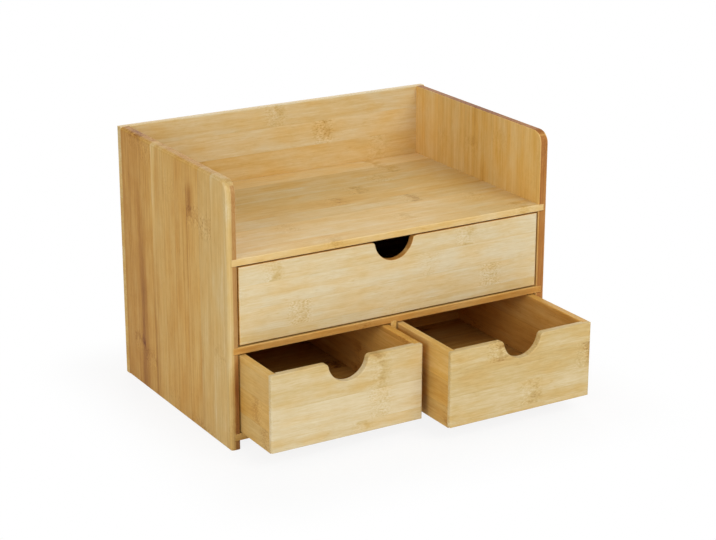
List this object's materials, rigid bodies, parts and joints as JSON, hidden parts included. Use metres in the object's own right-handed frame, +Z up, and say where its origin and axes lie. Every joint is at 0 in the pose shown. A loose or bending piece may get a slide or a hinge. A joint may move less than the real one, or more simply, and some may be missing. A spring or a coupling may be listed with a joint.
{
  "type": "desktop mini drawers",
  "caption": "Desktop drawer cabinet in laminated bamboo: an open letter tray over a full-width drawer and a pair of narrow drawers, all with finger notches.",
  "frame": {"origin": "on the desk, at the middle of the footprint with the drawers as they stand open", "axes": "+X to the right along the width, as seen from the front, +Y from the drawer fronts to the back, +Z up"},
  "size_m": [0.33, 0.306, 0.242],
  "materials": {
    "side_panel": "laminated bamboo, upright grain, clear satin lacquer",
    "back_panel": "laminated bamboo, level grain, clear satin lacquer",
    "board": "laminated bamboo, grain along the width, clear satin lacquer",
    "drawer_front": "laminated bamboo, level grain with node marks, clear satin lacquer",
    "drawer_wall": "laminated bamboo, level grain, clear satin lacquer",
    "drawer_bottom": "thin bamboo board, clear satin lacquer"
  },
  "bodies": {
    "cabinet": {"left_side_panel": "side_panel", "right_side_panel": "side_panel", "back_panel": "back_panel", "top_shelf": "board", "middle_shelf": "board", "bottom_board": "board", "divider": "board"},
    "top_drawer": {"top_drawer_front": "drawer_front", "top_drawer_left_side": "drawer_wall", "top_drawer_right_side": "drawer_wall", "top_drawer_back": "drawer_wall", "top_drawer_bottom": "drawer_bottom"},
    "left_drawer": {"left_drawer_front": "drawer_front", "left_drawer_left_side": "drawer_wall", "left_drawer_right_side": "drawer_wall", "left_drawer_back": "drawer_wall", "left_drawer_bottom": "drawer_bottom"},
    "right_drawer": {"right_drawer_front": "drawer_front", "right_drawer_left_side": "drawer_wall", "right_drawer_right_side": "drawer_wall", "right_drawer_back": "drawer_wall", "right_drawer_bottom": "drawer_bottom"}
  },
  "joints": [
    {"name": "top_drawer_slide", "type": "slide", "parent": "cabinet", "child": "top_drawer", "axis": [0, -1, 0], "range_m": [0, 0.17]},
    {"name": "left_drawer_slide", "type": "slide", "parent": "cabinet", "child": "left_drawer", "axis": [0, -1, 0], "range_m": [-0.0555, 0.1145]},
    {"name": "right_drawer_slide", "type": "slide", "parent": "cabinet", "child": "right_drawer", "axis": [0, -1, 0], "range_m": [-0.0865, 0.0835]}
  ]
}
